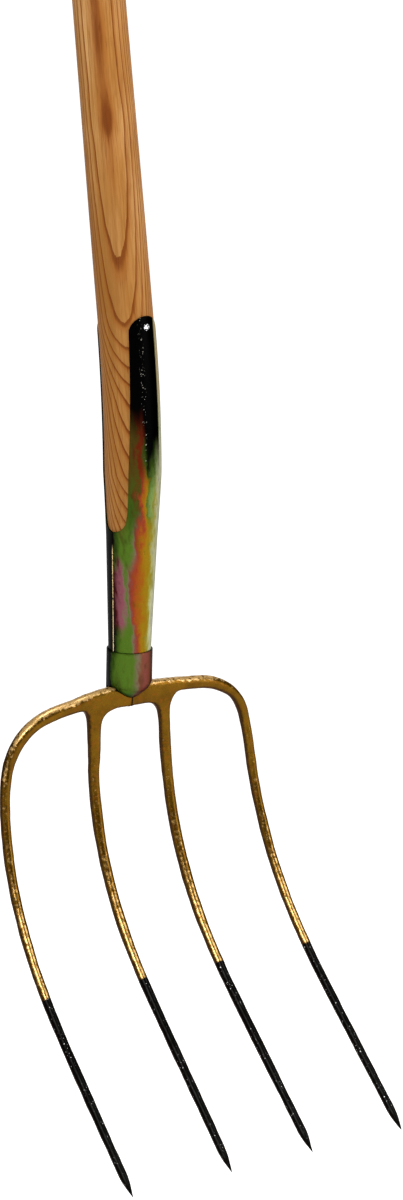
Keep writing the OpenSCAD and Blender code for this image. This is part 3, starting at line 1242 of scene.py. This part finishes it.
@dataclass
class Collar(Piece):
    """The ring round the socket's neck, closed in below over the two faces of the web.

    The front lobe and the back lobe are each given by the height at which they turn in, their depth and how
    sharply they draw in towards the eye.
    """

    outer_radius: float = 0.0164
    wall: float = 0.001
    top: float = 0.033
    front: tuple[float, float, float] = (0.011, 0.014, 2.2)
    back: tuple[float, float, float] = (0.002, 0.005, 0.6)
    eye_radius: float = 0.0045
    slot_width: float = 0.0096
    slot_top: float = 0.0068
    edge_round: float = 0.00025
    wall_rings: tuple[float, ...] = (0.1, 0.5)
    sides: int = 96
    dome_rings: int = 14

    def build(self) -> bpy.types.Object:
        """Extrudes the ring downwards, closes it in, and cuts the slot for the web.

        Returns:
            The finished collar.
        """
        bpy.ops.object.select_all(action="DESELECT")
        bpy.ops.mesh.primitive_circle_add(vertices=self.sides, radius=self.outer_radius,
                                          location=(0.0, 0.0, self.top))
        piece = added("collar_ring")
        rings = [(self.top - (self.top - self.front[0]) * share, self.outer_radius)
                 for share in self.wall_rings]
        rings += [self.lobe(i, self.front) for i in range(self.dome_rings + 1)]
        with editing(piece):
            bpy.ops.mesh.select_mode(type="EDGE")
            bpy.ops.mesh.select_all(action="SELECT")
            bar = Bar(Vector((0.0, 0.0, self.top)), DOWN)
            radius = self.outer_radius
            for height, wide in rings:
                bar.push(Vector((0.0, 0.0, height)), DOWN, (wide / radius, wide / radius, 1.0))
                radius = wide
        self.shape_back(piece)
        close_up(piece)
        finish_with(piece, "SOLIDIFY", thickness=self.wall, offset=-1.0, use_even_offset=True)
        cutter = self.slot_cutter()
        finish_with(piece, "BOOLEAN", operation="DIFFERENCE", object=cutter, solver="EXACT")
        bpy.data.objects.remove(cutter)
        close_up(piece)
        finish_with(piece, "BEVEL", width=self.edge_round, segments=2, limit_method="ANGLE",
                    angle_limit=SHARP_EDGE)
        put(piece, AXIS.head_frame())
        smooth(piece)
        return self.hand_over(piece)

    def lobe(self, ring: int, form: tuple[float, float, float]) -> tuple[float, float]:
        """Gives the height and the radius of one of a lobe's rings.

        Args:
            ring: The ring, from 0 where the wall turns in.
            form: The lobe's height, depth and draw.

        Returns:
            The ring's height and radius.
        """
        height, depth, draw = form
        turn = math.pi / 2 * ring / self.dome_rings
        radius = self.eye_radius + (self.outer_radius - self.eye_radius) * max(math.cos(turn), 0.0) ** draw
        return height - depth * math.sin(turn), radius

    def shape_back(self, piece: bpy.types.Object) -> None:
        """Reshapes the back of the lobes' rings, so that the wall stays straight further down there.

        Args:
            piece: The ring with the front's lobe all round.
        """
        rings = [(self.lobe(i, self.front), self.lobe(i, self.back)) for i in range(self.dome_rings + 1)]
        for vertex in piece.data.vertices:
            for (front_height, front_radius), (back_height, back_radius) in rings:
                if abs(vertex.co.z - front_height) < 1e-6:
                    share = ease(0.5 + vertex.co.y / front_radius)
                    scale = 1 + (back_radius / front_radius - 1) * share
                    lowered = front_height + (back_height - front_height) * share
                    vertex.co = (vertex.co.x * scale, vertex.co.y * scale, lowered)
                    break

    def slot_cutter(self) -> bpy.types.Object:
        """Makes the block that cuts the slot for the web.

        Returns:
            The block.
        """
        depth = 2 * self.front[1]
        bpy.ops.object.select_all(action="DESELECT")
        bpy.ops.mesh.primitive_cube_add(size=1.0, location=(0.0, 0.0, self.slot_top - depth / 2),
                                        scale=(3 * self.outer_radius, self.slot_width, depth))
        return added("slot_cutter")


@dataclass
class HeadHalf(Piece):
    """One forged half: half the web and tang, an inner tine, and an arm that turns into an outer tine.

    Stations of the arm give its distance from the seam, its height and its thickness. Stations of the
    inner tine's root give its near and its far edge, each by its distance from the seam and its height.
    The cage factors make up for what the subdivision takes off the round bars and off the web.
    """

    side: Side = Side.RIGHT

    # The outer tine, the inner tine with its root, and the arm
    reach: float = 0.1108
    shoulder_pull: float = 0.0
    shoulder_fade: tuple[float, float] = (0.044, 0.016)
    outer_sway: float = 0.0009
    inner_bow: float = 0.0
    bow_rate: float = 1.6
    root_near: float = 0.0150
    root_far: tuple[float, float, float] = (0.0405, 0.0008, 0.0096)
    root: tuple[tuple[float, float, float, float], ...] = (
        (0.0197, -0.0108, 0.0372, -0.0066), (0.0224, -0.0132, 0.0354, -0.0096),
        (0.0245, -0.0165, 0.0344, -0.0132), (0.0254, -0.0215, 0.0342, -0.0200))
    arm: tuple[tuple[float, float, float], ...] = (
        (0.0455, 0.0002, 0.0098), (0.0520, -0.0003, 0.0098), (0.0610, -0.0010, 0.0097),
        (0.0697, -0.0024, 0.0095), (0.0770, -0.0051, 0.0092), (0.0837, -0.0088, 0.0090),
        (0.0892, -0.0126, 0.0082), (0.0935, -0.0176, 0.0079), (0.0970, -0.0234, 0.0078),
        (0.0994, -0.0296, 0.0078), (0.1008, -0.0359, 0.0077))
    shoulder_run: float = 0.046

    # The web, its seam and how sharp its edges are
    web_top: float = 0.0068
    web_drop: float = 0.0093
    web_thick: float = 0.0094
    web_end: float = 0.97
    seam: tuple[float, float] = (0.0010, 0.0024)
    burr: float = 0.0005
    web_crease: float = 0.30
    top_crease: float = 0.28
    arm_fade: float = 0.007
    root_fade: float = 0.014
    crease_below: float = 0.009
    crease_angle: float = math.radians(40.0)

    # The tang, by height and scale, and what both tines share
    tang_half: float = 0.005
    tang_rings: tuple[tuple[float, float], ...] = ((0.010, 1.0), (0.060, 1.0), (0.100, 1.0), (0.110, 0.5))
    root_step: float = 0.008
    inner_root: float = 0.030
    inner_point: float = 0.0339
    outer_spread: float = 0.0125
    inner_d: float = 0.0087
    outer_d: float = 0.0077
    tip_d: float = 0.0060
    point_length: float = 0.016
    point_rings: tuple[tuple[float, float], ...] = ((0.30, 0.84), (0.62, 0.52), (0.90, 0.20), (1.0, 0.10))

    # The cage, the step at which a curve's way is measured, and the hammer marks by size and depth
    cage: float = 1 / 0.93
    web_cage: float = 1.03
    tine_rings: int = 34
    look: float = 0.002
    marks: tuple[tuple[float, float], ...] = ((0.016, 0.0006), (0.0055, 0.00018))

    def inner(self, run: float) -> Vector:
        """Finds a point of the inner tine.

        Args:
            run: Length along the tine.

        Returns:
            The point, in the head's frame.
        """
        share = run / SWEEP.length
        x = self.inner_root + (self.inner_point - self.inner_root) * share
        x += self.inner_bow * math.sin(math.pi * min(share * self.bow_rate, 1.0))
        return Vector((self.side.value * x, *SWEEP.at(run)))

    def outer(self, run: float) -> Vector:
        """Finds a point of the outer tine.

        Args:
            run: Length along the tine.

        Returns:
            The point, in the head's frame.
        """
        share = run / SWEEP.length
        start, fade = self.shoulder_fade
        x = self.reach - self.outer_spread * (1 - share) ** 2
        x += self.outer_sway * math.sin(2 * math.pi * share)
        x -= self.shoulder_pull * math.exp((start - run) / fade)
        return Vector((self.side.value * x, *SWEEP.at(run)))

    def thickness(self, run: float, root_d: float) -> float:
        """Gives a tine's diameter at a length along it, without its point."""
        return root_d + (self.tip_d - root_d) * run / (SWEEP.length - self.point_length)

    def push_tine(self, bar: Bar, curve: Callable[[float], Vector], start: float, root_d: float,
                  width: float) -> None:
        """Extrudes a tine from a length along it to its point.

        Args:
            bar: The end that is extruded.
            curve: The tine's curve.
            start: Length along the curve at the first ring.
            root_d: Diameter at the root of the curve.
            width: The end's present diameter.
        """
        shank = SWEEP.length - self.point_length
        runs = [start + (shank - start) * i / self.tine_rings for i in range(self.tine_rings + 1)]
        stations = [(run, self.thickness(run, root_d)) for run in runs]
        stations += [(shank + self.point_length * share, self.tip_d * thin)
                     for share, thin in self.point_rings]
        for run, wide in stations:
            ahead = curve(run + self.look) if run < shank else curve(SWEEP.length)
            behind = curve(run - self.look) if run < shank else curve(SWEEP.length - 2 * self.look)
            bar.push(curve(run), ahead - behind, (wide / width,) * 3)
            width = wide

    def build(self) -> bpy.types.Object:
        """Extrudes the web out from its seam, then the arm, the inner tine and the tang from it.

        Returns:
            The finished forging.
        """
        sign = self.side.value
        top = self.web_top * self.web_cage
        drop = self.web_drop * self.web_cage
        middle = (top - drop) / 2
        height = top + drop
        thick = self.web_thick * self.web_cage
        bpy.ops.object.select_all(action="DESELECT")
        bpy.ops.mesh.primitive_plane_add(size=1.0, rotation=(0.0, sign * math.pi / 2, 0.0),
                                         location=(0.0, 0.0, middle))
        piece = bpy.context.object
        piece.scale = (height, thick, 1.0)
        piece = added("head_" + self.side.name.lower() + "_forging")
        outward = Vector((sign, 0.0, 0.0))
        with editing(piece):
            bpy.ops.mesh.select_all(action="SELECT")
            bar = Bar(Vector((0.0, 0.0, middle)), outward)
            for x in (*self.seam, self.tang_half, self.root_near):
                bar.push(Vector((sign * x, 0.0, middle)), outward)
            x, z, tall = self.root_far
            tall *= self.web_cage
            bar.push(Vector((sign * x, 0.0, z)), outward, (1.0, self.web_end, tall / height))
            self.push_arm(bar, tall, thick * self.web_end)
            self.push_inner(piece, thick)
            self.push_tang(piece)
            self.pull_burr(piece)
            self.sharpen_web(piece)
        close_up(piece)
        finish_with(piece, "SUBSURF", levels=3, render_levels=3)
        self.hammer(piece)
        put(piece, AXIS.head_frame())
        only(piece)
        bpy.ops.object.shade_smooth()
        return self.hand_over(piece)

    def push_arm(self, bar: Bar, tall: float, thick: float) -> None:
        """Extrudes the arm from the web's end through its stations, then the outer tine.

        Args:
            bar: The web's end.
            tall: The end's present height.
            thick: The end's present thickness.
        """
        sign = self.side.value
        points = [Vector((sign * x, 0.0, z)) for x, z, _ in self.arm]
        wides = [wide * self.cage for _, _, wide in self.arm]
        beyond = self.outer(self.shoulder_run)
        for i, (point, wide) in enumerate(zip(points, wides)):
            behind = points[i - 1] if i else Vector((sign * self.root_far[0], 0.0, self.root_far[1]))
            ahead = points[i + 1] if i + 1 < len(points) else beyond
            scale = (1.0, wide / thick, wide / tall) if i == 0 else (wide / tall,) * 3
            bar.push(point, ahead - behind, scale)
            tall = wide
        self.push_tine(bar, self.outer, self.shoulder_run, self.outer_d, tall / self.cage)

    def push_inner(self, piece: bpy.types.Object, thick: float) -> None:
        """Extrudes the inner tine's root and the tine from the web's lower face.

        Args:
            piece: The forging, open in edit mode.
            thick: The web's thickness in the cage.
        """
        sign = self.side.value
        far = self.root_far[0]
        pick_faces(piece, lambda centre, normal: self.root_near < sign * centre.x < far
                   and normal.z < -LEVEL_FACE)
        mesh = bmesh.from_edit_mesh(piece.data)
        face = next(face for face in mesh.faces if face.select)
        bar = Bar(face.calc_center_median(), face.normal)
        rise = self.web_drop * self.web_cage + self.root_far[1] - self.root_far[2] * self.web_cage / 2
        width = math.hypot(far - self.root_near, rise)
        slim = (self.inner_d * self.cage / thick) ** (1 / len(self.root))
        for i, (near_x, near_z, far_x, far_z) in enumerate(self.root):
            wide = math.hypot(far_x - near_x, far_z - near_z)
            wide *= self.web_cage + (self.cage - self.web_cage) * (i + 1) / len(self.root)
            middle = Vector((sign * (near_x + far_x) / 2, 0.0, (near_z + far_z) / 2))
            middle.y = SWEEP.at(-middle.z)[0]
            facing = Vector((sign * (far_z - near_z), 0.0, near_x - far_x)).normalized()
            bar.push(middle, facing, (wide / width, slim, wide / width))
            width = wide
        first = self.root_step - self.root[-1][1]
        self.push_tine(bar, self.inner, first, self.inner_d, width / self.cage)

    def push_tang(self, piece: bpy.types.Object) -> None:
        """Extrudes the half tang from the web's upper face.

        Args:
            piece: The forging, open in edit mode.
        """
        sign = self.side.value
        pick_faces(piece, lambda centre, normal: self.seam[1] < sign * centre.x < self.tang_half
                   and normal.z > LEVEL_FACE and centre.z < 2 * self.web_top)
        base = Vector((sign * (self.tang_half + self.seam[1]) / 2, 0.0, self.web_top))
        bar = Bar(base, UP)
        for height, scale in self.tang_rings:
            bar.push(Vector((base.x, 0.0, height)), UP, (scale, scale, 1.0))

    def pull_burr(self, piece: bpy.types.Object) -> None:
        """Pulls the lower edge of the seam down into a small burr.

        Args:
            piece: The forging, open in edit mode.
        """
        mesh = bmesh.from_edit_mesh(piece.data)
        for vertex in mesh.verts:
            if abs(vertex.co.x) < (self.seam[0] + self.seam[1]) / 2 and vertex.co.z < 0:
                vertex.co.z -= self.burr
        bmesh.update_edit_mesh(piece.data)

    def sharpen_web(self, piece: bpy.types.Object) -> None:
        """Creases the outline of the web and the roots, so that their faces stay flat.

        Args:
            piece: The forging, open in edit mode.
        """
        mesh = bmesh.from_edit_mesh(piece.data)
        crease = mesh.edges.layers.float.get("crease_edge") or mesh.edges.layers.float.new("crease_edge")
        for edge in mesh.edges:
            middle = (edge.verts[0].co + edge.verts[1].co) / 2
            along = edge.verts[0].co - edge.verts[1].co
            if abs(along.y) > along.length / 2 or edge.calc_face_angle(0.0) < self.crease_angle:
                continue
            past_web = max((abs(middle.x) - self.root_far[0]) / self.arm_fade,
                           (-self.web_drop * self.web_cage - middle.z) / self.root_fade, 0.0)
            if middle.z < self.crease_below:
                sharp = self.web_crease if middle.z < 0 else self.top_crease
                edge[crease] = sharp * max(1.0 - past_web, 0.0)
        bmesh.update_edit_mesh(piece.data)

    def hammer(self, piece: bpy.types.Object) -> None:
        """Beats the smooth forging into slightly uneven bars.

        Args:
            piece: The forging.
        """
        for scale, depth in self.marks:
            texture = bpy.data.textures.new("hammer_marks", "CLOUDS")
            texture.noise_scale = scale
            texture.noise_depth = 1
            finish_with(piece, "DISPLACE", texture=texture, strength=depth, mid_level=0.5,
                        texture_coords="LOCAL")


@dataclass
class StrapNail(Piece):
    """A domed nail, driven through a strap's tip into the wood."""

    strap: Strap = Strap.FRONT
    below_tip: float = 0.0076
    seat_radius: float = 0.0206
    head_radius: float = 0.0025
    head_height: float = 0.0012
    rim_radius: float = 0.002425
    rim_height: float = 0.0002
    shank_radius: float = 0.0014
    shank_gap: float = 0.00005
    point_radius: float = 0.00042
    point_length: float = 0.003
    length: float = 0.017
    sides: int = 32
    rings: int = 8

    def model(self) -> bpy.types.Object:
        """Extrudes the shank from its point, widens it into the head, and rounds the head off.

        Returns:
            The nail, with the seat of its head at the origin.
        """
        point = Vector((0.0, 0.0, -self.length))
        bpy.ops.object.select_all(action="DESELECT")
        bpy.ops.mesh.primitive_circle_add(vertices=self.sides, radius=self.point_radius,
                                          fill_type="NGON", location=point)
        piece = added("nail_" + self.strap.name.lower())
        stations = [(self.point_length - self.length, self.shank_radius),
                    (-self.shank_gap, self.shank_radius), (0.0, self.rim_radius),
                    (self.rim_height, self.head_radius)]
        for i in range(1, self.rings):
            turn = math.pi / 2 * i / self.rings
            stations.append((self.rim_height + (self.head_height - self.rim_height) * math.sin(turn),
                             self.head_radius * math.cos(turn)))
        with editing(piece):
            bpy.ops.mesh.select_all(action="SELECT")
            bar = Bar(point, UP)
            radius = self.point_radius
            for height, wide in stations:
                bar.push(Vector((0.0, 0.0, height)), UP, (wide / radius, wide / radius, 1.0))
                radius = wide
        close_up(piece)
        return piece

    def drive(self, piece: bpy.types.Object) -> bpy.types.Object:
        """Drives a nail that was modelled at the origin through its strap.

        Args:
            piece: The nail.

        Returns:
            The same nail in its place.
        """
        height = AXIS.origin_height - self.below_tip
        seat = AXIS.on_skin(height, self.strap.value, self.seat_radius)
        outward = (seat - AXIS.at(height)[0]).normalized()
        put(piece, AXIS.bend_frame() @ Matrix.Translation(seat)
            @ UP.rotation_difference(outward).to_matrix().to_4x4())
        smooth(piece)
        return self.hand_over(piece)


# The studio


@dataclass(frozen=True)
class SoftBox:
    """A soft lamp, placed from the middle of the picture as the camera sees it."""

    name: str
    right: float
    up: float
    towards: float
    width: float
    height: float
    power: float


@dataclass
class Studio:
    """The camera, the lamps, and the room with its pale floor and wall."""

    camera_place: Vector = field(default_factory=lambda: Vector((-1.4547, -2.3121, 0.2456)))
    camera_way: Vector = field(default_factory=lambda: Vector((0.53665, 0.82805, -0.16226)))
    roll: float = math.radians(4.65)
    focal_px: float = 3943.5
    image_height_px: float = 1200.0
    sensor: float = 36.0
    distance: float = 2.80
    floor_level: float = -0.5870
    floor_size: float = 30.0
    wall_distance: float = 24.0
    wall_size: float = 40.0
    room_level: float = 0.16
    pale_level: float = 0.8
    shade_level: float = 0.76
    shade_span: tuple[float, float] = (0.9, 2.6)
    lamps: tuple[SoftBox, ...] = (
        SoftBox("key_lamp", 1.60, 0.70, 0.60, 0.8, 1.8, 20.0),
        SoftBox("front_lamp", -0.40, 1.00, 1.90, 1.0, 1.0, 30.0),
        SoftBox("fill_lamp", -1.50, 0.30, 1.60, 1.4, 2.4, 7.0),
        SoftBox("top_lamp", 0.1, 1.9, 0.3, 1.0, 1.0, 18.0))

    def axes(self) -> tuple[Vector, Vector, Vector]:
        """Finds the camera's own axes.

        Returns:
            Its right, up and forward ways.
        """
        forward = self.camera_way.normalized()
        level = forward.cross(UP).normalized()
        upright = level.cross(forward)
        right = math.cos(self.roll) * level - math.sin(self.roll) * upright
        return right, right.cross(forward), forward

    def place_camera(self) -> None:
        """Puts up the camera where the photograph was taken from."""
        right, up, forward = self.axes()
        bpy.ops.object.camera_add()
        camera = bpy.context.object
        camera.name = "camera"
        turn = Matrix((right, up, -forward)).transposed().to_4x4()
        camera.matrix_world = Matrix.Translation(self.camera_place) @ turn
        camera.data.sensor_width = self.sensor
        camera.data.lens = self.focal_px / self.image_height_px * self.sensor
        bpy.context.scene.camera = camera

    def hang_lamps(self) -> None:
        """Hangs the soft lamps round the fork."""
        right, up, forward = self.axes()
        middle = self.camera_place + forward * self.distance
        for box in self.lamps:
            place = middle + right * box.right + up * box.up - forward * box.towards
            bpy.ops.object.light_add(type="AREA", location=place)
            lamp = bpy.context.object
            lamp.name = box.name
            lamp.rotation_euler = (middle - place).to_track_quat("-Z", "Y").to_euler()
            lamp.data.shape = "RECTANGLE"
            lamp.data.size = box.width
            lamp.data.size_y = box.height
            lamp.data.energy = box.power

    def light_room(self) -> None:
        """Sets the level of the room, which the camera alone sees as white."""
        world = bpy.data.worlds.new("room")
        world.use_nodes = True
        room = Shader(world.node_tree, "Background")
        seen = room.output("ShaderNodeLightPath", "Is Camera Ray")
        room.dress(Color=room.mix(seen, grey(self.room_level), grey(1.0)))
        bpy.context.scene.world = world

    def pale(self, name: str) -> bpy.types.Material:
        """Makes a pale surface that the camera, metal and glass see as white, and that keeps a shadow.

        Args:
            name: The material's name.

        Returns:
            The material.
        """
        shader = Finish(name)
        away = shader.output("ShaderNodeVectorMath", "Value", {"operation": "DISTANCE"},
                             {0: shader.place, 1: (0.0, 0.0, self.floor_level)})
        path = shader.node("ShaderNodeLightPath").outputs
        camera, glossy, transmitted = (Value(shader, path[f"Is {ray} Ray"])
                                       for ray in ("Camera", "Glossy", "Transmission"))
        seen = shader.math("MINIMUM", camera + glossy + transmitted, 1.0)
        white = shader.mix(shader.step(away, *self.shade_span), grey(self.shade_level), grey(1.0))
        return shader.dressed(Base_Color=grey(self.pale_level), Roughness=0.9, Specular_IOR_Level=0.0,
                              Emission_Color=shader.mix(seen, grey(0.0), white), Emission_Strength=1.0)

    def lay_floor(self) -> None:
        """Lays the floor under the points and puts a wall up behind the fork."""
        forward = self.axes()[2]
        bpy.ops.object.select_all(action="DESELECT")
        bpy.ops.mesh.primitive_plane_add(size=self.floor_size, location=(0.0, 0.0, self.floor_level))
        floor = added("floor")
        floor.data.materials.append(self.pale("pale_floor"))
        behind = self.camera_place + forward * (self.distance + self.wall_distance)
        bpy.ops.mesh.primitive_plane_add(size=self.wall_size, location=behind)
        wall = bpy.context.object
        wall.rotation_euler = (-forward).to_track_quat("Z", "Y").to_euler()
        wall = added("wall")
        wall.data.materials.append(self.pale("pale_wall"))

    def build(self) -> None:
        """Sets the whole studio up."""
        bpy.context.scene.view_settings.view_transform = "Standard"
        self.place_camera()
        self.hang_lamps()
        self.light_room()
        self.lay_floor()


def left_half(finish: bpy.types.Material) -> HeadHalf:
    """Gives the left half the sizes in which the forging isn't even with its right half.

    Args:
        finish: The half's finish.

    Returns:
        The half, not yet built.
    """
    return HeadHalf(
        "head_left", Slot.GOLD_LACQUER, finish, Side.LEFT, reach=0.1147, shoulder_pull=0.0030,
        outer_sway=0.0, inner_bow=0.0010, root_near=0.0135, root_far=(0.0385, -0.0021, 0.0116),
        root=((0.0182, -0.0108, 0.0366, -0.0098), (0.0210, -0.0131, 0.0353, -0.0124),
              (0.0232, -0.0167, 0.0346, -0.0160), (0.0242, -0.0222, 0.0344, -0.0222),
              (0.0247, -0.0380, 0.0343, -0.0380), (0.0257, -0.0460, 0.0345, -0.0460)),
        arm=((0.0440, -0.0035, 0.0101), (0.0540, -0.0047, 0.0102), (0.0640, -0.0066, 0.0100),
             (0.0740, -0.0097, 0.0095), (0.0810, -0.0134, 0.0094), (0.0870, -0.0184, 0.0092),
             (0.0913, -0.0232, 0.0090), (0.0948, -0.0283, 0.0087), (0.0978, -0.0342, 0.0084),
             (0.1001, -0.0406, 0.0081)),
        shoulder_run=0.050)


def main() -> None:
    """Sets up the studio, then builds and dresses every piece of the fork."""
    logging.basicConfig(level=logging.INFO, format="%(name)s: %(message)s")
    Studio().build()
    wood = AshWood().build()
    zinc = PassivatedZinc().build()
    # The collar has no seam, so the turn of its seam lies past the film's last band.
    collar_zinc = PassivatedZinc("passivated_zinc_collar", COLLAR_FILM, COLLAR_FILM, seam_turn=200.0,
                                 rim=(0.0052, 0.0066)).build()
    lacquer = GoldLacquer().build()
    steel = BrightSteel().build()
    Handle("handle", Slot.ASH_WOOD, wood).build()
    Socket("socket", Slot.PASSIVATED_ZINC, zinc).build()
    Collar("collar", Slot.PASSIVATED_ZINC, collar_zinc).build()
    left_half(lacquer).build()
    HeadHalf("head_right", Slot.GOLD_LACQUER, lacquer).build()
    front_nail = StrapNail("strap_nail_front", Slot.BRIGHT_STEEL, steel, Strap.FRONT)
    back_nail = StrapNail("strap_nail_back", Slot.BRIGHT_STEEL, steel, Strap.BACK)
    pattern = front_nail.model()
    twin = copied(pattern, "nail_back")
    front_nail.drive(pattern)
    back_nail.drive(twin)


if __name__ == "__main__":
    main()
